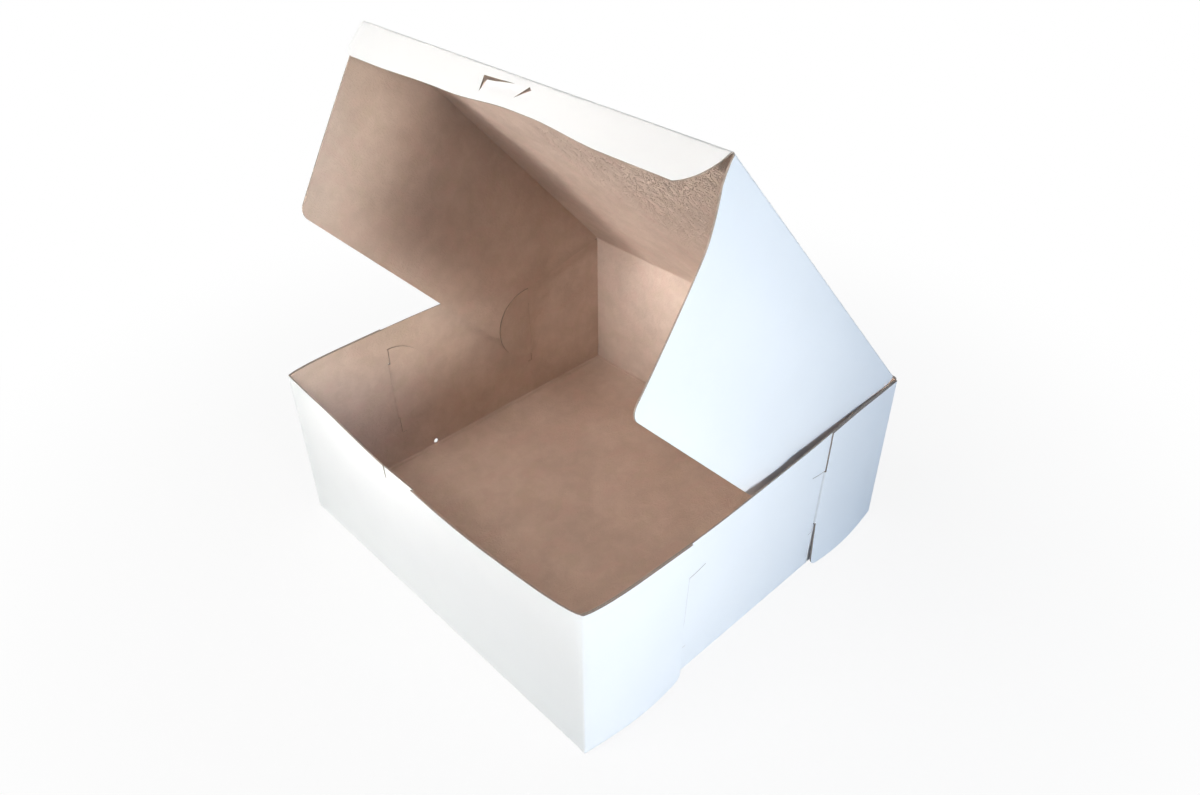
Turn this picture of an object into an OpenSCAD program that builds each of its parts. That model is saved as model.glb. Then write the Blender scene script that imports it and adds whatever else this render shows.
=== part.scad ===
// A small square bakery box, folded from one sheet of paperboard.
// The tray's four corners are locked by hooked ears, and the lid, with its three
// tuck flaps, turns on the crease along the top of the back wall.
// The origin is at the middle of the tray's underside, with the front wall towards -Y.

/* [Box] */
// Width of the tray across its side walls
tray_w = 152.4; // [125:0.1:220]
// Depth of the tray from the front wall to the back wall
tray_d = 152.4; // [125:0.1:220]
// Height of the closed box
box_h = 63.5; // [58:0.1:110]
// Thickness of the paperboard
board = 0.5; // [0.35:0.05:0.8]

/* [Bowed walls] */
// How far the front rim bows outward
front_bow = 4.2; // [1:0.1:7]
// How far the front bow leans to the right, where 1 is a centred bow
front_skew = 0.65; // [0.5:0.01:1]
// How far each side rim bows outward
side_bow = 4.2; // [1:0.1:7]
// How far the side bow leans to the front, where 1 is a centred bow
side_skew = 0.58; // [0.5:0.01:1]

/* [Corner ears] */
// Length of each ear along the side wall that it covers
ear_len = 40.7; // [32:0.1:50]
// How far the bottom edge of an ear stands off the side wall
ear_bulge = 2.6; // [0:0.1:4]
// Height of the ear's bottom edge over the tray's underside
ear_lift = 0.4; // [0.2:0.1:3]
// Air between an ear or hook and the side wall beside it
layer_gap = 0.15; // [0.1:0.05:0.3]

/* [Hooks and slits] */
// Radius of the half-round hook at the end of each ear
hook_r = 16.5; // [12:0.1:18]
// Height of the hook's centre
hook_z = 37.5; // [32:0.1:40]
// Bottom of the slit that the hook passes through
slit_low = 16; // [13:0.1:24]
// Top of that slit
slit_top = 46.5; // [40:0.1:50]
// Width of the slit
slit_w = 1.9; // [1.8:0.1:3]
// Length of the cut that runs from the top of the slit
relief_top = 7; // [3:0.1:9]
// Length of the cut that runs from the bottom of the slit
relief_low = 3; // [2:0.1:6]
// Width of both cuts
relief_w = 0.6; // [0.4:0.1:1]

/* [Lock tab] */
// Place of the lock tab's centre along the front rim
tab_x = -3.4; // [-15:0.1:15]
// Width of the lock tab between its two slits
tab_w = 15.3; // [10:0.1:24]
// Depth of those slits
tab_depth = 8; // [4:0.1:12]
// Width of those slits
tab_slit = 0.9; // [0.5:0.1:1.5]

/* [Lid] */
// Angle by which the lid stands open
lid_open = 47.8; // [40:0.1:100]
// Air between the closed lid and the rims
lid_gap = 0.3; // [0.2:0.05:0.6]
// Air between the closed lid's front edge and the front wall
front_gap = 0.6; // [0.4:0.1:1.5]
// Air between a side flap and the hooks that it passes
side_gap = 0.3; // [0.25:0.05:1]
// Open width at each crease where two panels part
crease = 0.2; // [0.15:0.05:0.4]

/* [Side flaps] */
// Air between a side flap's lower edge and the tray's floor when the box is closed
floor_gap = 0.4; // [0.3:0.1:3]
// Distance of a side flap's back corner from the lid's hinge
flap_back = 1.5; // [1.2:0.1:5]
// Distance of a side flap's front corner from the lid's front edge
flap_front = 1.7; // [1.5:0.1:5]
// How far the back end slants inward, down to its hollow
back_slant = 21.1; // [18:0.1:26]
// Depth down to the hollow, which clears the hook while the box stands open
back_bend = 37.8; // [30:0.1:44]
// How deep the hollow is cut
back_hollow = 5.4; // [2:0.1:8]
// How far the flap's lower back corner returns towards the hinge
back_return = 4.4; // [1:0.1:8]
// How far the front end slants inward over the flap's depth
front_slant = 16; // [12:0.1:25]
// Depth down to which the front end runs straight before it slants
front_straight = 8; // [6:0.1:14]
// Radius of the flap's lower front corner
flap_round = 5; // [2:0.1:8]

/* [Front flap] */
// Depth of the front flap
tuck_h = 11.2; // [9:0.1:16]
// Angle by which the front flap leans inward past square
tuck_lean = 5; // [2:0.1:10]
// Distance of the front flap's right end from the lid's side
tuck_inset = 1.1; // [0.9:0.1:4]
// Radius of the curve that cuts back the right end
tuck_round = 19; // [17:0.1:26]
// How far the blunt left end reaches out past the lid's side
tuck_reach = 0.2; // [0:0.05:0.4]
// Radius of the left end's lower corner
tuck_corner = 2.5; // [1:0.1:4]
// Width of the lock cut in the front flap
lock_w = 19; // [8:0.1:24]
// Depth of the lock cut's sides
lock_h = 5; // [3:0.1:6]
// How far the lock cut's left side slants inward
lock_left = 1.2; // [0:0.1:4]
// How far the lock cut's right side slants inward
lock_right = 4.2; // [0:0.1:6]
// Distance of the lock cut from the front crease
lock_y = 3; // [2.5:0.1:4]
// Width of the lock cut's open line
lock_line = 0.8; // [0.5:0.1:1.2]

/* [Hidden] */
half_w = tray_w/2;
half_d = tray_d/2;
rim_h = box_h - board - lid_gap;
layer = board + layer_gap;
// Half of the lid's width over its side flaps, which pass inside the hooks
lid_half = half_w - board - layer - side_gap;
lid_len = tray_d - board - front_gap;
flap_depth = box_h - board - floor_gap;
// How far each neck overlaps its ear and its hook, along Y and across the board
lap = 0.5;
lap_in = 0.05;
// Where the hook starts past the end of its ear, and how much of its quarter circles is kept
hook_start = 1;
hook_sweep = 84;
// How far the slit reaches back under the ear
slit_under = 0.2;
// Share of a half wave that an ear's bottom edge swells through
swell_sweep = 145;
// Direction in which the right end's curve starts, from square to the crease
tuck_start = 20;
stations = 20;
arc_steps = 8;
card = "#f4f6fa";

// Outward bow at a share s of a rim's length
function bow(s, peak, skew) = peak*sin(180*pow(max(0, min(1, s)), skew));
function front_rim(x) = bow((half_w - x)/tray_w, front_bow, front_skew);
function side_rim(y) = bow((y + half_d)/tray_d, side_bow, side_skew);
// Outer face of a side wall, which leans out from its straight bottom fold to its rim
function side_face(y, z) = half_w + side_rim(y)*z/rim_h;
// Outer face of an ear at a distance along it, which springs off the wall at its bottom
function ear_swell(along) = ear_bulge*sin(swell_sweep*along/ear_len);
function ear_face(along, y, z) =
    half_w + layer + ear_swell(along)*(1 - z/rim_h) + side_rim(y)*z/rim_h;
function hook_face(y, z) = side_face(y, z) - layer;
// Place along Y at a distance from the front corner (end -1) or the back corner (end 1)
function from_corner(end, along) = end*(half_d - along);
function steps(from, to, n) = [for (i = [0:n]) from + (to - from)*i/n];
function turned(list) = [for (i = [len(list) - 1:-1:0]) list[i]];
function in_order(end, list) = end < 0 ? list : turned(list);

function unit(v) = v/norm(v);
// Round corner b of an outline, between its neighbours a and c
function rounded(a, b, c, r) =
    let (
        u = unit(a - b),
        w = unit(c - b),
        half = acos(u*w)/2,
        centre = b + unit(u + w)*r/sin(half),
        p = b + u*r/tan(half) - centre,
        q = b + w*r/tan(half) - centre,
        turn = sign(p.x*q.y - p.y*q.x)*(180 - 2*half)
    )
    [for (f = steps(0, turn, arc_steps)) centre + [p.x*cos(f) - p.y*sin(f), p.x*sin(f) + p.y*cos(f)]];

// A ruled sheet of board between a low and a high row of points, with its back face at an offset
module sheet(low, high, back) {
    n = len(low);
    last = n - 1;
    // Where the high row, the back's low row and the back's high row start among the points
    h = n;
    bl = 2*n;
    bh = 3*n;
    points = concat(low, high, [for (p = low) p + back], [for (p = high) p + back]);
    skins = [for (i = [0:last - 1]) each [
        [i, h + i, h + i + 1],
        [i, h + i + 1, i + 1],
        [bl + i, bh + i + 1, bh + i],
        [bl + i, bl + i + 1, bh + i + 1]
    ]];
    edges = [for (i = [0:last - 1]) each [
        [i, i + 1, bl + i + 1, bl + i],
        [h + i, bh + i, bh + i + 1, h + i + 1]
    ]];
    ends = [[0, bl, bh, h], [last, h + last, bh + last, bl + last]];
    polyhedron(points, concat(skins, edges, ends));
}

module front_wall() {
    reach = half_w + layer;
    xs = concat([-reach], steps(-half_w, half_w, stations), [reach]);
    difference() {
        sheet(
            [for (x = xs) [x, -half_d, 0]],
            [for (x = xs) [x, -half_d - front_rim(x), rim_h]],
            [0, board, 0]
        );
        for (side = [-1, 1])
            translate([tab_x + side*tab_w/2 - tab_slit/2, -half_d - 2*front_bow, rim_h - tab_depth])
                cube([tab_slit, 4*front_bow, tab_depth + 1]);
    }
}

module back_wall() {
    reach = half_w + layer;
    translate([-reach, half_d - board, 0])
        cube([2*reach, board, rim_h]);
}

// The slit that takes one hook, with the short cuts that let it through
module slit(end) {
    deep = 4*side_bow + 4;
    near = from_corner(end, ear_len - slit_under);
    far = from_corner(end, ear_len - slit_under + slit_w);
    mid = -end;
    translate([half_w - deep/2, min(near, far), slit_low])
        cube([deep, slit_w, slit_top - slit_low]);
    translate([half_w - deep/2, min(far, far + mid*relief_top), slit_top - relief_w])
        cube([deep, relief_top, relief_w]);
    translate([half_w - deep/2, min(far, far + mid*relief_low), slit_low])
        cube([deep, relief_low, relief_w]);
}

module side_wall() {
    ys = steps(-half_d + board/2, half_d - board/2, stations);
    difference() {
        sheet(
            [for (y = ys) [side_face(y, 0), y, 0]],
            [for (y = ys) [side_face(y, rim_h), y, rim_h]],
            [-board, 0, 0]
        );
        slit(-1);
        slit(1);
    }
}

// One corner ear, which wraps the outside of the side wall
module ear(end) {
    path = in_order(end, steps(board/2, ear_len, arc_steps));
    sheet(
        [for (a = path) let (y = from_corner(end, a)) [ear_face(a, y, ear_lift), y, ear_lift]],
        [for (a = path) let (y = from_corner(end, a)) [ear_face(a, y, rim_h), y, rim_h]],
        [-board, 0, 0]
    );
}

// The narrow part of the ear that steps inward through the slit
module neck(end) {
    low_z = max(slit_low, hook_z - hook_r) + relief_w;
    top_z = slit_top - relief_w;
    start = ear_len - lap;
    stop = ear_len + hook_start + lap;
    function row(z) = in_order(end, [
        [ear_face(start, from_corner(end, start), z) - lap_in, from_corner(end, start), z],
        [hook_face(from_corner(end, stop), z) + lap_in, from_corner(end, stop), z]
    ]);
    sheet(row(low_z), row(top_z), [-board, 0, 0]);
}

// The half-round hook that lies on the inside of the side wall
module hook(end) {
    start = ear_len + hook_start;
    angles = in_order(end, steps(0, hook_sweep, 2*arc_steps));
    function rim_point(a, up) =
        let (y = from_corner(end, start + hook_r*sin(a)), z = hook_z + up*hook_r*cos(a))
        [hook_face(y, z), y, z];
    sheet([for (a = angles) rim_point(a, -1)], [for (a = angles) rim_point(a, 1)], [-board, 0, 0]);
}

module tray_side() {
    side_wall();
    for (end = [-1, 1]) {
        ear(end);
        neck(end);
        hook(end);
    }
}

module base_tray() {
    color(card) {
        translate([-half_w + board/2, -half_d + board/2, 0])
            cube([tray_w - board, tray_d - board, board]);
        front_wall();
        back_wall();
        tray_side();
        mirror([1, 0, 0])
            tray_side();
    }
}

// Places a piece of the lid: on the closed lid, -Y runs from the hinge to the lid's
// front edge, and -Z runs from its outer face down into the tray
module on_lid() {
    translate([0, half_d, box_h])
        rotate([-lid_open, 0, 0])
            children();
}

module lid_panel() {
    wide = 2*(lid_half - board - crease);
    long = lid_len - board - crease;
    color(card)
        on_lid()
            translate([-wide/2, -long, -board])
                cube([wide, long, board]);
}

// Arc from one point to another that bulges by a depth to the left of the way between them
function bulge(from, to, depth) =
    let (
        half = norm(to - from)/2,
        r = (half*half + depth*depth)/(2*depth),
        way = unit(to - from),
        left = [-way.y, way.x],
        centre = (from + to)/2 - left*(r - depth),
        sweep = atan2(half, r - depth)
    )
    [for (a = steps(-sweep, sweep, arc_steps)) centre + r*(left*cos(a) + way*sin(a))];

// Outline of a side flap, with a slanted front end, and a back end that slants down to
// a hollow and ends in a sharp lower corner
function side_outline() =
    let (
        top = -board - crease,
        back_top = [-flap_back, top],
        hollow_top = [-flap_back - back_slant, -back_bend],
        back_low = hollow_top + [back_return, back_bend - flap_depth],
        front_low = [-lid_len + flap_front + front_slant, -flap_depth],
        front_bend = [-lid_len + flap_front, -front_straight],
        front_top = [-lid_len + flap_front, top]
    )
    concat(
        [front_top, front_bend],
        rounded(front_bend, front_low, back_low, flap_round),
        bulge(back_low, hollow_top, back_hollow),
        [back_top]
    );

module side_flap() {
    on_lid()
        translate([lid_half - board, 0, 0])
            rotate([90, 0, 90])
                linear_extrude(board)
                    polygon(side_outline());
}

module lid_right_flap() {
    color(card)
        side_flap();
}

module lid_left_flap() {
    color(card)
        mirror([1, 0, 0])
            side_flap();
}

// Right end of the front flap's outline, cut back on a curve from the crease down
function tuck_right() =
    let (stop = asin(sin(tuck_start) + (tuck_h - crease)/tuck_round))
    [for (a = steps(tuck_start, stop, arc_steps)) [
        lid_half - tuck_inset - tuck_round*(cos(tuck_start) - cos(a)),
        -crease - tuck_round*(sin(a) - sin(tuck_start))
    ]];

// Left end, blunt and slightly swelled, from its lower corner up to the crease
function tuck_left() =
    let (
        out = -lid_half - tuck_reach,
        middle = [out, -tuck_h/2],
        top = [-lid_half + tuck_inset/2, -crease]
    )
    concat(rounded([0, -tuck_h], [out, -tuck_h], middle, tuck_corner), [middle, top]);

// The open three-sided lock cut, over the tray's lock tab
module lock_cut() {
    translate([tab_x - lock_w/2, -lock_y - lock_line])
        square([lock_w, lock_line]);
    lock_side(-1, lock_left);
    lock_side(1, lock_right);
}

module lock_side(side, slant) {
    edge = tab_x + side*lock_w/2;
    polygon([
        [edge, -lock_y],
        [edge - side*lock_line, -lock_y],
        [edge - side*(lock_line + slant), -lock_y - lock_h],
        [edge - side*slant, -lock_y - lock_h]
    ]);
}

module lid_front_flap() {
    color(card)
        on_lid()
            translate([0, -lid_len + board, -board])
                rotate([tuck_lean, 0, 0])
                    rotate([90, 0, 0])
                        linear_extrude(board)
                            difference() {
                                polygon(concat(tuck_right(), tuck_left()));
                                lock_cut();
                            }
}

base_tray();
lid_panel();
lid_front_flap();
lid_left_flap();
lid_right_flap();
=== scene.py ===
import math
import bmesh
import bpy
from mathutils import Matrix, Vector


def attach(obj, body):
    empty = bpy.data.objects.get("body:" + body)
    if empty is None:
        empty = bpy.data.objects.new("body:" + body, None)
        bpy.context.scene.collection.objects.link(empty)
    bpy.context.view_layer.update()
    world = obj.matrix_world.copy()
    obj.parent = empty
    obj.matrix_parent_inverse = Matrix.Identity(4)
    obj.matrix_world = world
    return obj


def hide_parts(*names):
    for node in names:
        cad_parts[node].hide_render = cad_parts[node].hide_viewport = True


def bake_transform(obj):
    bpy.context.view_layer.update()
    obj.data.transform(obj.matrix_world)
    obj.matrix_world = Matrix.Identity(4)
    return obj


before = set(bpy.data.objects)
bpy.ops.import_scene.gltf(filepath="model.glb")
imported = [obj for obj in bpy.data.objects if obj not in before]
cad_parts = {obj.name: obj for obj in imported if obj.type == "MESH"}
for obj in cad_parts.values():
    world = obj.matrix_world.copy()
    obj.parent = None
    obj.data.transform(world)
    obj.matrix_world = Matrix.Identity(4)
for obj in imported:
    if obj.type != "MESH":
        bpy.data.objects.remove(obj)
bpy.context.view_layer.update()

mm = 0.001

# Studio
# The box stands on a plain white table among soft lamps, warm from the left and cool
# from behind on the right, seen from above its front right corner as in the photograph.
camera_place = (0.2005759, -0.1867301, 0.2572116)
camera_turn = (53.4583, 0.3613, 46.1072)
camera = bpy.data.objects.new("camera", bpy.data.cameras.new("camera"))
camera.location = camera_place
camera.rotation_euler = [math.radians(angle) for angle in camera_turn]
camera.data.sensor_width = 36
camera.data.lens = 28.4118
camera.data.clip_start = 0.01
bpy.context.collection.objects.link(camera)
bpy.context.scene.camera = camera
bpy.context.scene.view_settings.view_transform = "Standard"


class Shade:
    """A socket of a node tree, on which Python's operators make the tree's own maths."""

    def __init__(self, tree, socket=None):
        self.tree = tree
        self.socket = socket

    def node(self, kind, settings=(), out=0, **sockets):
        """Adds a node, sets it up and feeds its sockets, and gives one of its outputs."""
        made = self.tree.nodes.new(kind)
        for name, value in dict(settings).items():
            setattr(made, name, value)
        for name, value in sockets.items():
            spot = int(name[1:]) if name[1:].isdigit() else name.replace("_", " ")
            self.feed(made.inputs[spot], value)
        return Shade(self.tree, made.outputs[out])

    def feed(self, target, value):
        if isinstance(value, Shade):
            self.tree.links.new(value.socket, target)
        elif hasattr(target.default_value, "__len__") and len(value) < len(target.default_value):
            target.default_value = (*value, 1)
        else:
            target.default_value = value

    def maths(self, operation, first, second):
        return self.node("ShaderNodeMath", {"operation": operation}, _0=first, _1=second)

    def mix(self, share, first, second):
        """Mixes two colours by a share from 0 to 1."""
        return self.node(
            "ShaderNodeMix", {"data_type": "RGBA"}, out=2, _0=share, _6=first, _7=second
        )

    def span(self, low, high):
        """This value run from 0 at low to 1 at high, and held between them."""
        return self.node(
            "ShaderNodeMapRange", {"interpolation_type": "SMOOTHSTEP"},
            Value=self, From_Min=low, From_Max=high
        )

    def __add__(self, other):
        return self.maths("ADD", self, other)

    def __sub__(self, other):
        return self.maths("SUBTRACT", self, other)

    def __rsub__(self, other):
        return self.maths("SUBTRACT", other, self)

    def __mul__(self, other):
        return self.maths("MULTIPLY", self, other)

    def __abs__(self):
        return self.maths("ABSOLUTE", self, 0)

    __radd__ = __add__
    __rmul__ = __mul__


def new_material(name):
    """An empty material, with a wrapper to build on and its output node."""
    made = bpy.data.materials.new(name)
    made.use_nodes = True
    made.node_tree.nodes.clear()
    return made, Shade(made.node_tree), made.node_tree.nodes.new("ShaderNodeOutputMaterial")


def lamp(name, place, aim, size, power, colour, spread=180):
    """A square soft lamp that shines from a place at an aim, over a spread in degrees."""
    light = bpy.data.lights.new(name, "AREA")
    light.size = size
    light.energy = power
    light.color = colour
    light.spread = math.radians(spread)
    made = bpy.data.objects.new(name, light)
    made.location = place
    made.rotation_euler = (Vector(aim) - Vector(place)).to_track_quat("-Z", "Y").to_euler()
    bpy.context.collection.objects.link(made)


lamp("high_lamp", (-0.123, -0.461, 0.823), (0, 0, 0.06), 0.35, 2.7, (1, 0.92, 0.84))
lamp("front_lamp", (-0.36, -0.82, 0.216), (0, 0, 0.06), 0.3, 2.35, (0.9, 1, 0.98))
lamp("far_lamp", (0.866, 0.076, 0.293), (0, 0, 0.06), 0.25, 2.3, (0.46, 0.69, 1))
lamp("side_lamp", (0.8625, -0.165, 0.201), (0, -0.07, 0.09), 0.2, 0.175, (1, 0.98, 0.9), 30)
lamp("back_lamp", (0.05, -0.8, 0.4), (-0.037, 0.076, 0.043), 0.06, 0.013, (1, 0.97, 0.93), 7)
lamp("lid_lamp", (-0.3, -0.83, 0.185), (0, 0, 0.14), 0.2, 0.085, (1, 0.88, 0.8), 20)

world = bpy.data.worlds.new("studio")
world.use_nodes = True
world.node_tree.nodes.clear()
air = Shade(world.node_tree)
seen = air.node("ShaderNodeLightPath", out=0)
gloss = air.node("ShaderNodeLightPath", out=3)
soft_light = air.node("ShaderNodeBackground", Color=(0.8, 0.9, 1), Strength=0.1)
white_back = air.node("ShaderNodeBackground", Color=(1, 1, 1), Strength=1)
sky = air.node(
    "ShaderNodeMixShader", _0=air.maths("MAXIMUM", seen, gloss), _1=soft_light, _2=white_back
)
world_out = world.node_tree.nodes.new("ShaderNodeOutputWorld")
air.feed(world_out.inputs["Surface"], sky)
bpy.context.scene.world = world

table_size = 3
table_mesh = bpy.data.meshes.new("table")
table_signs = ((-1, -1), (1, -1), (1, 1), (-1, 1))
table_corners = [(x * table_size, y * table_size, 0) for x, y in table_signs]
table_mesh.from_pydata(table_corners, [], [(0, 1, 2, 3)])
table = bpy.data.objects.new("table", table_mesh)
bpy.context.collection.objects.link(table)
table_finish, paint, table_out = new_material("white_table")
spot = paint.node("ShaderNodeTexCoord", out=3)
grain = paint.node("ShaderNodeTexNoise", Vector=spot, Scale=300)
away = paint.node("ShaderNodeVectorMath", {"operation": "LENGTH"}, out=1, _0=spot)
matte = paint.node(
    "ShaderNodeBsdfPrincipled", Base_Color=(0.82, 0.82, 0.83), Roughness=0.8 + 0.1 * grain
)
lit_white = paint.node("ShaderNodeEmission", Color=(1, 1, 1), Strength=1)
camera_ray = paint.node("ShaderNodeLightPath", out=0)
white_share = 0.9 + 0.1 * away.span(0.1, 0.3)
shown = paint.node("ShaderNodeMixShader", _0=camera_ray * white_share, _1=matte, _2=lit_white)
paint.feed(table_out.inputs["Surface"], shown)
table_mesh.materials.append(table_finish)

# Tray
# The lower box: one die-cut sheet of clay-coated paperboard, white outside and bare
# kraft inside. Its walls fold up along pressed creases, and at each corner an ear of
# the front or back wall wraps the side wall and hooks through a slit in it.
tray_w = 152.4 * mm
tray_d = 152.4 * mm
box_h = 63.5 * mm
board = 0.5 * mm
front_bow = 4.2 * mm
front_skew = 0.65
side_bow = 3.4 * mm
side_skew = 0.54
side_lean = 0.7
ripple_depth = 0.12 * mm
ear_len = 40.7 * mm
ear_bulge = 2.6 * mm
ear_lift = 0.5 * mm
ear_round = 3 * mm
ear_spring = 25 * mm
ear_fade = 1.3
swell_sweep = math.radians(145)
layer = 0.55 * mm
hook_r = 16.5 * mm
hook_z = 37.5 * mm
hook_start = 0.8 * mm
hook_curl = {(-1, -1): 0.3 * mm, (-1, 1): 0.95 * mm, (1, -1): 0.3 * mm, (1, 1): 0.3 * mm}
slit_low = {-1: 13.6 * mm, 1: 17 * mm}
slit_top = {-1: 47.4 * mm, 1: 46 * mm}
slit_w = 0.8 * mm
hair = 0.15 * mm
relief_top = [(0, 0), (3.6 * mm, 0.5 * mm), (7 * mm, 1.4 * mm)]
relief_low = 2 * mm
neck_room = 0.4 * mm
nick_place = (-77.6 * mm, -20.2 * mm)
nick_r = 1.1 * mm
tab_x = -3.4 * mm
tab_w = 15.3 * mm
tab_depth = 5 * mm
tab_slit = {-1: 0.5 * mm, 1: 0.06 * mm}
tab_push = (0.15 * mm, 0.7 * mm)
lid_gap = 0.3 * mm
corner_cut = 0.35 * mm
fold_round = 0.9 * mm
corner_round = 0.5 * mm
cell = 3.4 * mm

half_w = tray_w / 2
half_d = tray_d / 2
rim_h = box_h - board - lid_gap
ear_fold = half_w + layer

white_tone = (0.865, 0.88, 0.905)
kraft_light = (0.72, 0.585, 0.505)
kraft_dark = (0.575, 0.455, 0.385)
kraft_pink = (0.69, 0.51, 0.45)
kraft_olive = (0.615, 0.51, 0.4)
fibre_and_highlight_tone = (0.83, 0.71, 0.62)
layer_and_shade_edge_tone = (0.44, 0.37, 0.32)
# Where the wrinkles stand up most and their ridges carry the most painted highlight, and how far
# that fades.
wrinkle_and_highlight_place = (45 * mm, -10 * mm, 150 * mm)
wrinkle_and_highlight_reach = (25 * mm, 85 * mm)


def sheet_place(shade):
    """Where a point lay on the flat blank, so that the pattern runs on over the folds."""
    return shade.node("ShaderNodeUVMap", {"uv_map": "blank"})


def noise(shade, size, detail=3.0, stretch=None, **more):
    """Clouds on the flat blank, with lumps of about a size."""
    place = sheet_place(shade)
    if stretch:
        turn, scale = stretch
        place = shade.node("ShaderNodeMapping", Vector=place, Rotation=(0, 0, turn), Scale=scale)
    return shade.node("ShaderNodeTexNoise", Vector=place, Scale=1 / size, Detail=detail, **more)


def white_coat():
    """Satin clay coat, with the board's fibres just telegraphing through it."""
    made, coat, out = new_material("clay_coat_white")
    cloud = noise(coat, 30 * mm, 4)
    speck = noise(coat, 1.1 * mm, 4)
    tone = coat.mix(cloud.span(0.35, 0.65) * 0.5, white_tone, tuple(0.975 * c for c in white_tone))
    fibres = noise(coat, 2.2 * mm, 5, (0.3, (1, 0.35, 1)))
    relief = coat.node(
        "ShaderNodeBump", Strength=0.12, Distance=0.15 * mm, Height=fibres * 0.7 + speck * 0.3
    )
    surface = coat.node(
        "ShaderNodeBsdfPrincipled", Base_Color=tone, Roughness=0.42 + 0.1 * speck,
        Specular_IOR_Level=0.45, Normal=relief
    )
    coat.feed(out.inputs["Surface"], surface)
    return made


def bare_kraft():
    """Unbleached recycled fibre: cloudy brown, with flecks and fine worm-like wrinkles,
    which stand up most under the lid's front right corner, where their pale ridges also carry a
    painted highlight."""
    made, pulp, out = new_material("bare_kraft")
    cloud = noise(pulp, 28 * mm, 4)
    blotch = noise(pulp, 6 * mm, 5, Distortion=0.6)
    pink = noise(pulp, 11 * mm, 3, (1.1, (1, 0.7, 1)), Distortion=0.8)
    olive = noise(pulp, 8 * mm, 3, (2.3, (0.8, 1, 1)), Distortion=0.8)
    worms = abs(noise(pulp, 3 * mm, 2.5, (0.9, (1, 0.5, 1)), Distortion=1.8) - 0.5)
    ridge = 1 - worms.span(0.0, 0.07)
    spot = pulp.node("ShaderNodeTexCoord", out=3)
    away = pulp.node(
        "ShaderNodeVectorMath", {"operation": "DISTANCE"}, out=1, _0=spot, _1=wrinkle_and_highlight_place
    )
    wrinkle_and_highlight_share = 1 - 0.85 * away.span(*wrinkle_and_highlight_reach)
    fleck = noise(pulp, 0.7 * mm, 3)
    shade_share = cloud.span(0.38, 0.62) * 0.45 + blotch.span(0.3, 0.7) * 0.35
    tone = pulp.mix(shade_share, kraft_light, kraft_dark)
    tone = pulp.mix(pink.span(0.48, 0.68) * 0.4, tone, kraft_pink)
    tone = pulp.mix(olive.span(0.5, 0.7) * 0.35, tone, kraft_olive)
    # Paler ridges, strongest near the lid's front right corner: partly the kraft's pale fibres,
    # partly a painted highlight of raking light.
    tone = pulp.mix(ridge * wrinkle_and_highlight_share * 0.6, tone, fibre_and_highlight_tone)
    tone = pulp.mix(fleck.span(0.58, 0.7) * 0.25, tone, kraft_dark)
    relief = pulp.node(
        "ShaderNodeBump", Strength=0.9, Distance=0.3 * mm,
        Height=ridge * wrinkle_and_highlight_share * 1.8 + blotch * 0.5 + fleck * 0.4
    )
    surface = pulp.node(
        "ShaderNodeBsdfPrincipled", Base_Color=tone, Roughness=0.82 + 0.12 * fleck,
        Specular_IOR_Level=0.25, Normal=relief
    )
    pulp.feed(out.inputs["Surface"], surface)
    return made


def cut_edge():
    """The cut through the board, whose grey-brown layers fuzz a little, in a tone darkened past
    the layers' own as painted shade.
    """
    made, core, out = new_material("cut_edge")
    fuzz = noise(core, 0.5 * mm, 3)
    wear = noise(core, 7 * mm, 2)
    # Edge tone: the layers' grey-brown, darkened further as painted shade so the cut edges read as
    # dark lines.
    tone = core.mix(fuzz.span(0.3, 0.7), layer_and_shade_edge_tone, tuple(0.8 * c for c in layer_and_shade_edge_tone))
    tone = core.mix(wear.span(0.5, 0.7) * 0.4, tone, kraft_dark)
    relief = core.node("ShaderNodeBump", Strength=0.5, Distance=0.1 * mm, Height=fuzz)
    surface = core.node(
        "ShaderNodeBsdfPrincipled", Base_Color=tone, Roughness=0.85 + 0.1 * fuzz,
        Specular_IOR_Level=0.2, Normal=relief
    )
    core.feed(out.inputs["Surface"], surface)
    return made


board_finish = [white_coat(), bare_kraft(), cut_edge()]


def steps(start, stop, count):
    return [start + (stop - start) * i / count for i in range(count + 1)]


def smooth(value, low, high):
    """Runs from 0 at low to 1 at high, with soft ends."""
    share = min(1, max(0, (value - low) / (high - low)))
    return share * share * (3 - 2 * share)


def die_cut(outline, holes, lines_x, lines_y):
    """The flat blank inside an outline, in cells cut along the given lines."""
    blank = bmesh.new()
    for ring in [outline, *holes]:
        corners = [blank.verts.new((x, y, 0)) for x, y in ring]
        for first, second in zip(corners, corners[1:] + corners[:1]):
            blank.edges.new((first, second))
    bmesh.ops.triangle_fill(blank, edges=blank.edges[:], use_beauty=True, normal=(0, 0, 1))
    near = 0.001 * mm
    for axis, lines in enumerate((lines_x, lines_y)):
        normal = [0, 0, 0]
        normal[axis] = 1
        for line in lines:
            place = [0, 0, 0]
            place[axis] = line
            bmesh.ops.bisect_plane(
                blank, geom=blank.verts[:] + blank.edges[:] + blank.faces[:],
                dist=near, plane_co=place, plane_no=normal
            )

    def on_a_line(edge):
        one, two = (corner.co for corner in edge.verts)
        return any(
            abs(one[axis] - two[axis]) < near
            and min(abs(one[axis] - line) for line in lines) < near
            for axis, lines in enumerate((lines_x, lines_y))
        )

    loose = [edge for edge in blank.edges if not edge.is_boundary and not on_a_line(edge)]
    bmesh.ops.dissolve_edges(blank, edges=loose, use_verts=False)
    return blank


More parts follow.
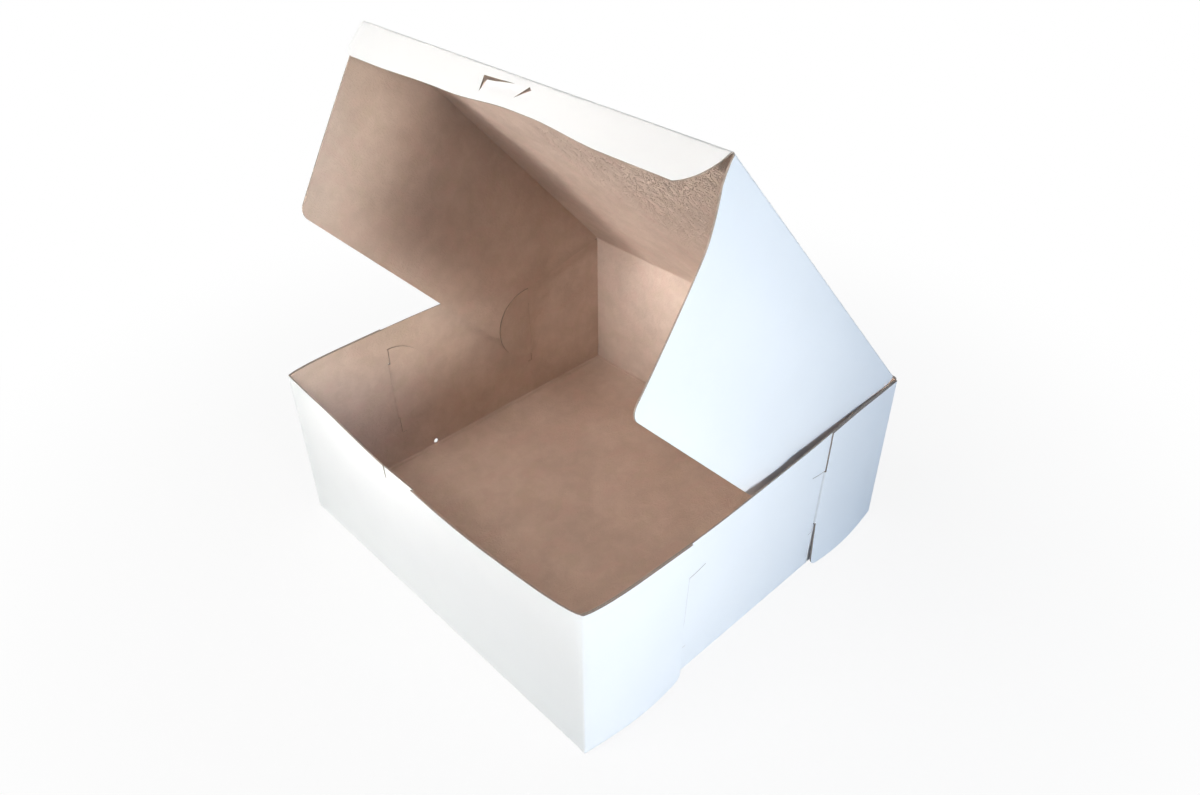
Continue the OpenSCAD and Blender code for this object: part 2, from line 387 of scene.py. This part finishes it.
def folded_sheet(name, blank, fold):
    """Folds a flat blank up by a rule, and gives it the board's thickness and three finishes."""
    flat = blank.loops.layers.uv.new("blank")
    for face in blank.faces:
        if face.normal.z > 0:
            face.normal_flip()
        for loop in face.loops:
            loop[flat].uv = loop.vert.co.xy
    for corner in blank.verts:
        corner.co = fold(corner.co.x, corner.co.y)
    mesh = bpy.data.meshes.new(name)
    blank.to_mesh(mesh)
    blank.free()
    flat_piece = bpy.data.objects.new(name + "_flat", mesh)
    bpy.context.collection.objects.link(flat_piece)
    thickness = flat_piece.modifiers.new("board", "SOLIDIFY")
    thickness.thickness = board
    thickness.offset = -1
    thickness.use_even_offset = True
    thickness.material_offset = 1
    thickness.material_offset_rim = 2
    for finish in board_finish:
        mesh.materials.append(finish)
    made = made_solid(name, flat_piece)
    made.data.polygons.foreach_set("use_smooth", [True] * len(made.data.polygons))
    made.data.set_sharp_from_angle(angle=math.radians(50))
    return made


def made_solid(name, source):
    """A plain mesh of an object with its modifiers worked out, which takes its place."""
    result = bpy.data.meshes.new_from_object(
        source.evaluated_get(bpy.context.evaluated_depsgraph_get()),
        preserve_all_data_layers=True, depsgraph=bpy.context.evaluated_depsgraph_get()
    )
    bpy.data.objects.remove(source)
    made = bpy.data.objects.new(name, result)
    made.data.name = name
    bpy.context.collection.objects.link(made)
    return made


def soft_fold(run):
    """How far a fold's round pulls a sheet back and lifts it, at a run before or past the fold."""
    if abs(run) >= fold_round:
        return 0, 0
    share = (run + fold_round) / (2 * fold_round)
    across = -fold_round * (1 - share) ** 2
    up = fold_round * share ** 2
    return across - min(run, 0), up - max(run, 0)


def bow(share, peak, skew):
    return peak * math.sin(math.pi * min(1, max(0, share)) ** skew)


def front_rim(x):
    return bow((half_w - x) / tray_w, front_bow, front_skew)


def side_rim(y):
    return bow((y + half_d) / tray_d, side_bow, side_skew)


def lean(z):
    """Share of the rim's outward bow at a height on the wall."""
    return (max(0, z) / rim_h) ** side_lean


def ripple(along, z):
    """The slight unevenness of a board wall, gone at its bottom fold and near its corners."""
    ends = smooth(half_w - abs(along), 0, 30 * mm)
    wave = math.sin(along / (17 * mm) + 1.1) + 0.6 * math.sin(along / (8.3 * mm) + z / (14 * mm))
    return ripple_depth * wave * ends * z / rim_h


def side_face(y, z):
    return half_w + side_rim(y) * lean(z) + ripple(y, z)


def front_face(x, z):
    push = 0
    if abs(x - tab_x) < tab_w / 2:
        share = (x - tab_x) / tab_w + 0.5
        push = tab_push[0] + (tab_push[1] - tab_push[0]) * share
        push *= smooth(z, rim_h - tab_depth, rim_h)
    return half_d + front_rim(x) * z / rim_h + ripple(x, z) - push


def back_face(x, z):
    return half_d


def ear_face(side, along, y, z):
    """Outer face of an ear, which springs off at its foot, then of its neck, then of its
    hook on the wall's inside, whose round rim curls off the wall."""
    end = 1 if y > 0 else -1
    foot = max(0, 1 - z / ear_spring) ** ear_fade
    swell = ear_bulge * math.sin(swell_sweep * min(along, ear_len) / ear_len) * foot
    ear = side_face(y, z) + layer + swell
    past = max(0, along - ear_len)
    curl = hook_curl[side, end] * smooth(math.hypot(past, z - hook_z) / hook_r, 0.55, 1)
    curl *= 1 - 0.5 * smooth(-z, -30 * mm, -21 * mm)
    if z < slit_top[end]:
        curl *= smooth(past, 0.5 * mm, 5 * mm)
    hook = side_face(y, z) - layer - curl
    return ear + (hook - ear) * smooth(along, ear_len, ear_len + hook_start)


def fold_tray(x, y):
    """Where a point of the tray's flat blank goes when the tray is folded up."""
    side = 1 if x > 0 else -1
    end = 1 if y > 0 else -1
    across, deep = abs(x), abs(y)
    end_face = front_face if end < 0 else back_face
    in_corner = smooth(half_w - across, 0, 2 * mm)
    if deep > half_d:
        z = deep - half_d
        pull, lift = soft_fold(z)
        along = across - ear_fold

        def wall(at):
            return Vector((at, end_face(side * at, z)))

        def ear(at):
            return Vector((ear_face(side, at, end * (half_d - at), z), half_d - at))

        if along <= -corner_round:
            plan = wall(across)
        elif along < corner_round:
            share = (along + corner_round) / (2 * corner_round)
            plan = wall(ear_fold - corner_round) * (1 - share) ** 2
            plan += Vector((ear_fold, half_d)) * 2 * share * (1 - share)
            plan += ear(corner_round) * share ** 2
        else:
            plan = ear(along)
        plan.y += pull * in_corner
        return (side * plan.x, end * plan.y, z + lift * in_corner)
    end_pull, end_lift = soft_fold(deep - half_d)
    side_ends = smooth(half_d - deep, 0, 2 * mm)
    if across > half_w:
        z = across - half_w
        pull, lift = soft_fold(z)
        return (side * (side_face(y, z) + pull * side_ends), y, z + lift * side_ends)
    side_pull, side_lift = soft_fold(across - half_w)
    return (
        side * (across + side_pull * side_ends),
        end * (deep + end_pull * in_corner),
        side_lift * side_ends + end_lift * in_corner,
    )


def arc(centre, radius, start, stop, count):
    """Points of an arc between two angles in degrees."""
    angles = [math.radians(angle) for angle in steps(start, stop, count)]
    return [(centre[0] + radius * math.cos(a), centre[1] + radius * math.sin(a)) for a in angles]


def corner_outline(end):
    """One corner of the blank, from the end wall's rim round the ear to the side rim.
    Each point is a distance right of the ear's fold or, past the ear, the side wall's own edge."""
    neck = ear_len + hook_start
    neck_low = hook_z - hook_r + neck_room
    neck_top = slit_top[end] - neck_room
    ear = [(0, rim_h), (ear_len, rim_h), (ear_len, neck_top), (neck, neck_top)]
    ear += arc((neck, hook_z), hook_r, 90, -90, 28)
    ear += [(neck, neck_low), (ear_len, neck_low)]
    ear += arc((ear_len - ear_round, ear_lift + ear_round), ear_round, 0, -90, 6)
    ear += [(fold_round, ear_lift), (0, ear_lift / 2)]
    points = [(ear_fold + a, -half_d - z) for a, z in ear]
    points += [(half_w, -half_d), (half_w + rim_h / 2, -half_d + corner_cut)]
    return points + [(half_w + rim_h, -half_d + corner_cut)]


def tray_outline():
    front, back = corner_outline(-1), corner_outline(1)
    tab_sides = []
    for side in (1, -1):
        for edge in (1, -1):
            x = tab_x + side * tab_w / 2 + edge * tab_slit[side] / 2
            ends = [(x, -half_d - rim_h), (x, -half_d - rim_h + tab_depth)]
            tab_sides += ends if edge > 0 else ends[::-1]
    front_left = [(-x, y) for x, y in front]
    back_right = [(x, -y) for x, y in back]
    back_left = [(-x, -y) for x, y in back]
    return front + back_right[::-1] + back_left + front_left[::-1] + tab_sides[::-1]


def slit_outline(side, end):
    """A hook's slit: as wide as the hook's neck, a hair-line below it, with a short cut off
    each end that keeps the board from tearing."""
    low, top = slit_low[end], slit_top[end]
    neck_low = hook_z - hook_r
    far = ear_len + slit_w
    points = [(far - hair, low), (far + relief_low, low)]
    points += [(far + relief_low, low + hair), (far, low + hair)]
    points += [(far + run, top + rise - hair) for run, rise in relief_top]
    points += [(far + run - hair / 2, top + rise + hair / 2) for run, rise in relief_top[::-1]]
    points += [(ear_len, top), (ear_len, neck_low), (far - hair, neck_low)]
    return [(side * (half_w + z), end * (half_d - along)) for along, z in points]


def cell_lines(start, stop, size, extra=()):
    """Lines a cell apart, and the extra ones that a fold or a bend needs."""
    count = max(1, round((stop - start) / size))
    lines = steps(start, stop, count)
    clear_lines = [line for line in lines if all(abs(line - e) > 0.3 * size for e in extra)]
    return sorted([*clear_lines, *extra])


fold_lines = [share * fold_round for share in (-1, -0.5, 0, 0.5, 1)]
across_lines = [half_w + line for line in fold_lines] + [ear_fold + corner_round]
across_lines += [ear_fold + ear_len + step * mm for step in (-0.2, 0, 0.2, 0.4, 0.6, 0.8)]
across_lines = cell_lines(cell / 2, half_w + rim_h - cell / 2, cell, across_lines)
deep_lines = [half_d + line for line in fold_lines]
deep_lines = cell_lines(cell / 2, half_d + rim_h - cell / 2, cell, deep_lines)
tray_blank = die_cut(
    tray_outline(),
    [slit_outline(side, end) for side in (-1, 1) for end in (-1, 1)]
    + [arc(nick_place, nick_r, 0, 315, 7)],
    [-line for line in across_lines] + across_lines,
    [-line for line in deep_lines] + deep_lines,
)
tray = folded_sheet("tray", tray_blank, fold_tray)
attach(tray, "tray")
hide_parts("base_tray")

# Lid panel
# The top of the box, of the same sheet as the tray. It goes on from the back wall
# over a pressed crease, rounded and bent to the lid's open angle.
lid_open = math.radians(47.8)
front_gap = 0.6 * mm
side_gap = 0.3 * mm
lip = 1.4 * mm
lid_sag = 0.5 * mm

lid_half = half_w - board - side_gap
lid_len = tray_d - board - front_gap
hinge = Vector((0, half_d, box_h))
along_lid = Vector((0, -math.cos(lid_open), math.sin(lid_open)))
below_lid = Vector((0, -math.sin(lid_open), -math.cos(lid_open)))


def on_lid(x, along, below):
    """A place on the lid: across it, along it from its hinge, and below its outer face."""
    return Vector((x, 0, 0)) + hinge + along_lid * along + below_lid * below


def round_fold(run, before, corner, after):
    """A sheet's outer face at a run past a fold, between the directions before and after it."""
    if run <= -fold_round:
        return corner - before * -run
    if run >= fold_round:
        return corner + after * run
    share = (run + fold_round) / (2 * fold_round)
    return corner - before * fold_round * (1 - share) ** 2 + after * fold_round * share ** 2


def fold_lid(x, along):
    place = round_fold(along, Vector((0, 0, 1)), hinge, along_lid)
    sag = math.sin(math.pi * min(1, max(0, along) / lid_len))
    sag *= math.cos(math.pi * x / (2.2 * lid_half))
    return place + Vector((x, 0, 0)) + below_lid * lid_sag * sag


wall_end = rim_h - box_h
lid_right = [
    (half_w, wall_end), (half_w, 1 * mm), (half_w - board, 1.45 * mm),
    (lid_half - lip, 1.45 * mm), (lid_half - lip, lid_len - lip),
]
lid_blank = die_cut(
    lid_right + [(-x, along) for x, along in lid_right[::-1]],
    [],
    cell_lines(-lid_half + lip + cell / 2, lid_half - lip - cell / 2, cell),
    cell_lines(cell, lid_len - lip - cell / 2, cell, fold_lines),
)
lid = folded_sheet("lid", lid_blank, fold_lid)
on_lid(0, 0, 0) + Vector((0, 0, wall_end))
on_lid(0, -wall_end, 0)
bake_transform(lid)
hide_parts("lid_panel")

# Front flap
# The low flap along the lid's front edge. Its right end is cut back on a curve, and a
# slit on three sides leaves a tongue that catches the front rim's tab when the box is shut.
tuck_h = 11.2 * mm
tuck_lean = math.radians(5)
tuck_inset = 0.5 * mm
tuck_round = 19 * mm
tuck_start = 20
tuck_reach = 0.2 * mm
tuck_bottom = 3.5 * mm
tuck_dip = 1.6 * mm
tuck_drop = 0.8 * mm
lock_left = [(-11.7, 3.2), (1.3, 2.6), (-9.7, 4.1), (-10.5, 7.9)]
lock_right = [(6.9, 2.1), (8, 2.9), (3, 6.3)]
lock_push = 0.4 * mm

tuck_down = below_lid * math.cos(tuck_lean) - along_lid * math.sin(tuck_lean)
tuck_out = along_lid * math.cos(tuck_lean) + below_lid * math.sin(tuck_lean)
tuck_corner = on_lid(0, lid_len - board, board) + tuck_out * board
tuck_corner -= tuck_down * (tuck_corner - hinge).dot(below_lid) / tuck_down.dot(below_lid)


def fold_tuck(x, down):
    """Folds the flap down, and presses the tongue between the cuts in a little."""
    place = Vector((x, 0, 0)) + round_fold(down, along_lid, tuck_corner, tuck_down)
    inside = smooth(x, -10.5 * mm, -7 * mm) * smooth(-x, -5 * mm, 0)
    inside *= smooth(down, 3 * mm, 4 * mm) * smooth(-down, -8 * mm, -4 * mm)
    return place - tuck_out * lock_push * inside


def rounded(before, corner, after, radius, count=8):
    """Points that round one corner of an outline."""
    before, corner, after = Vector(before), Vector(corner), Vector(after)
    one, two = (before - corner).normalized(), (after - corner).normalized()
    half = one.angle(two) / 2
    reach = radius / math.tan(half)
    centre = corner + (one + two).normalized() * radius / math.sin(half)
    first, last = corner + one * reach - centre, corner + two * reach - centre
    return [
        tuple(centre + first.lerp(last, share).normalized() * radius)
        for share in steps(0, 1, count)
    ]


def tuck_outline():
    """Outline of the flap, from the crease down its right end and along its uneven free edge."""
    start = math.sin(math.radians(tuck_start))
    stop = math.degrees(math.asin(start + tuck_h / tuck_round))
    top = lid_half - tuck_inset
    centre = (top - tuck_round * math.cos(math.radians(tuck_start)), -tuck_round * start)
    reach = -lid_half - tuck_reach
    low = tuck_h + tuck_drop
    edge = []
    for x in steps(50 * mm, -60 * mm, 30):
        dip = smooth(-x, -40 * mm, -12 * mm) - smooth(-x, -4 * mm, 22 * mm)
        edge.append((x, tuck_h - tuck_dip * dip + tuck_drop * smooth(-x, 30 * mm, 60 * mm)))
    return [
        (top, -lip), *arc(centre, tuck_round, tuck_start, stop, 14), *edge,
        *rounded((0, low), (reach, low), (reach, tuck_h / 2), tuck_bottom),
        (reach, tuck_h / 2), (-top - tuck_inset / 2, 0), (-top - tuck_inset / 2, -lip),
    ]


tuck_blank = die_cut(
    tuck_outline(),
    [[(x * mm, down * mm) for x, down in cut] for cut in (lock_left, lock_right)],
    cell_lines(-lid_half + cell, lid_half - cell, cell),
    [*fold_lines, *steps(3 * mm, tuck_h - 2 * mm, 6)],
)
front_flap = folded_sheet("front_flap", tuck_blank, fold_tuck)
tuck_corner - along_lid * fold_round
tuck_corner + tuck_down * fold_round
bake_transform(front_flap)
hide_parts("lid_front_flap")

# Side flaps
# The two flaps along the lid's sides, which slide down inside the side walls. Each is
# slanted at both ends, with a hollow behind that clears the hook while the box stands
# open. The left one hangs flat but for its front, and the right one springs out.
floor_gap = 0.4 * mm
flap_back = 1.5 * mm
flap_front = {-1: 1.7 * mm, 1: 0.8 * mm}
back_slant = 21.1 * mm
back_bend = 37.8 * mm
back_hollow = 6.1 * mm
back_return = 4.4 * mm
front_slant = 16 * mm
front_straight = 8 * mm
front_hollow = {-1: 0, 1: 3.4 * mm}
flap_round = 5 * mm
left_bow = 0.5 * mm
left_bow_start = 62 * mm
flap_spring = 0.12
clear = 0.1 * mm
flap_depth = box_h - board - floor_gap


def bulged(first, last, depth, count=16):
    """Points of an arc from one place to another that stands off the straight line by a depth."""
    first, last = Vector(first), Vector(last)
    run = last - first
    radius = (run.length ** 2 / 4 + depth ** 2) / (2 * depth)
    side = Vector((-run.y, run.x)).normalized()
    centre = (first + last) / 2 - side * (radius - depth)
    return [
        tuple(centre + (first.lerp(last, share) - centre).normalized() * radius)
        for share in steps(0, 1, count)
    ]


def flap_outline(side):
    """Outline of a side flap, as runs down from its crease and along the lid from the hinge."""
    front = lid_len - flap_front[side]
    slant_end = lid_len - flap_front[-1] - front_slant
    hollow_top = (back_bend, flap_back + back_slant)
    back_low = (flap_depth, hollow_top[1] - back_return)
    edge = []
    for down in steps(flap_depth - flap_round, 2 * mm, 20):
        slope = front_slant * max(0, down - front_straight) / (flap_depth - front_straight)
        hollow = front_hollow[side] * smooth(down, 1 * mm, 24 * mm)
        in_front = lid_len - flap_front[-1] - slope - hollow
        near_crease = smooth(-down, -12 * mm, -2 * mm)
        edge.append((down, in_front + (front - lid_len + flap_front[-1]) * near_crease))
    corner = (flap_depth, slant_end - front_hollow[side])
    return [
        (-lip, flap_back), (0, flap_back), (2.6 * mm, flap_back + 0.3 * mm),
        *bulged(hollow_top, back_low, back_hollow),
        *rounded(back_low, corner, edge[0], flap_round), *edge, (-lip, front),
    ]


def soft_least(one, two):
    """The smaller of two lengths, with the change between them rounded off."""
    blend = 0.6 * mm
    near = max(0, blend - abs(one - two)) / blend
    return min(one, two) - near * near * blend / 4


def spring(down, along):
    """How far the right flap springs out, which the wall and its hooks allow both as the
    box stands open and when it is shut."""
    y, z = half_d - along, box_h - down
    hooks = smooth(z, 12 * mm, 20 * mm) * (1 - smooth(along, 113 * mm, 130 * mm))
    shut = side_rim(y) * lean(z) + side_gap - clear - (layer + hook_curl[1, 1]) * hooks
    place = on_lid(0, along, down)
    if place.z < box_h:
        shut = soft_least(shut, side_rim(place.y) * lean(place.z) + side_gap - clear)
    return max(0, soft_least(flap_spring * down, shut))


for side, name in ((-1, "left_flap"), (1, "right_flap")):
    outward = Vector((side, 0, 0))
    flap_corner = on_lid(side * lid_half, 0, 0)

    def fold_flap(across, along):
        """Folds the flap down from the lid, and bows it outward."""
        down = across * side
        place = round_fold(down, outward, flap_corner, below_lid) + along_lid * along
        if side > 0:
            return place + outward * (spring(down, along) if down > 0 else 0)
        swell = math.sin(math.pi * 0.93 * (max(0, down) / flap_depth) ** 0.8)
        swell *= smooth(along, left_bow_start, lid_len - 15 * mm)
        return place + outward * left_bow * swell

    flap_blank = die_cut(
        [(side * down, along) for down, along in flap_outline(side)], [],
        sorted(side * line for line in [*fold_lines, *steps(3.5 * mm, flap_depth - 2 * mm, 18)]),
        cell_lines(cell, lid_len - cell, cell),
    )
    flap = folded_sheet(name, flap_blank, fold_flap)
    flap_corner - outward * fold_round
    flap_corner + below_lid * fold_round
    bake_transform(flap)
    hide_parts("lid_" + name)

# Crease beads
# Each fold was pressed between a steel rule and a groove, which leaves a fine raised
# bead of kraft along its inside. A tree of nodes runs the bead along the folds.
bead_radius = 0.28 * mm
bead_wobble = 0.12 * mm


def bead_tree():
    """Nodes that turn bare lines into beads of kraft."""
    tree = bpy.data.node_groups.new("crease_bead", "GeometryNodeTree")
    for name, kind in (
        ("Geometry", "NodeSocketGeometry"), ("Radius", "NodeSocketFloat"),
        ("Wobble", "NodeSocketFloat"), ("Seed", "NodeSocketFloat"),
        ("Finish", "NodeSocketMaterial"),
    ):
        tree.interface.new_socket(name, in_out="INPUT", socket_type=kind)
    tree.interface.new_socket("Geometry", in_out="OUTPUT", socket_type="NodeSocketGeometry")
    step = Shade(tree)
    lines, radius, wobble, seed, finish = (step.node("NodeGroupInput", out=i) for i in range(5))
    path = step.node("GeometryNodeMeshToCurve", Mesh=lines)
    path = step.node("GeometryNodeResampleCurve", {"mode": "LENGTH"}, Curve=path, Length=1.5 * mm)
    drift = step.node(
        "ShaderNodeTexNoise", {"noise_dimensions": "4D"}, out=1, W=seed, Scale=1 / (9 * mm)
    )
    drift = step.node(
        "ShaderNodeVectorMath", {"operation": "SUBTRACT"}, _0=drift, _1=(0.5, 0.5, 0.5)
    )
    drift = step.node("ShaderNodeVectorMath", {"operation": "SCALE"}, _0=drift, Scale=wobble)
    path = step.node("GeometryNodeSetPosition", Geometry=path, Offset=drift)
    ring = step.node("GeometryNodeCurvePrimitiveCircle", Resolution=8, Radius=radius)
    bead = step.node("GeometryNodeCurveToMesh", Curve=path, Profile_Curve=ring, Fill_Caps=True)
    bead = step.node("GeometryNodeSetShadeSmooth", Geometry=bead)
    bead = step.node(
        "GeometryNodeStoreNamedAttribute", {"data_type": "FLOAT2", "domain": "CORNER"},
        Geometry=bead, Name="blank", Value=step.node("GeometryNodeInputPosition"),
    )
    bead = step.node("GeometryNodeRealizeInstances", Geometry=bead)
    bead = step.node("GeometryNodeSetMaterial", Geometry=bead, Material=finish)
    step.feed(tree.nodes.new("NodeGroupOutput").inputs[0], bead)
    return tree


def beads(name, runs, seed):
    """Beads along straight runs, each from one place to another."""
    mesh = bpy.data.meshes.new(name)
    ends = [place for run in runs for place in run]
    mesh.from_pydata(ends, [(i, i + 1) for i in range(0, len(ends), 2)], [])
    lines = bpy.data.objects.new(name + "_lines", mesh)
    bpy.context.collection.objects.link(lines)
    crease = lines.modifiers.new("crease", "NODES")
    crease.node_group = crease_tree
    values = {
        "Radius": bead_radius, "Wobble": bead_wobble, "Seed": seed, "Finish": board_finish[1]
    }
    for item in crease_tree.interface.items_tree:
        if item.in_out == "INPUT" and item.name in values:
            crease[item.identifier] = values[item.name]
    made = made_solid(name, lines)
    return made


crease_tree = bead_tree()
low = board
wall_x, wall_y = half_w - board - fold_round / 4, half_d - board - fold_round / 4
corners = [(-wall_x, -wall_y), (wall_x, -wall_y), (wall_x, wall_y), (-wall_x, wall_y)]
tray_runs = [
    [(*(0.985 * c for c in one), low), (*(0.985 * c for c in two), low)]
    for one, two in zip(corners, corners[1:] + corners[:1])
]
tray_beads = beads("tray_creases", tray_runs, 3.0)
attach(tray_beads, "tray")
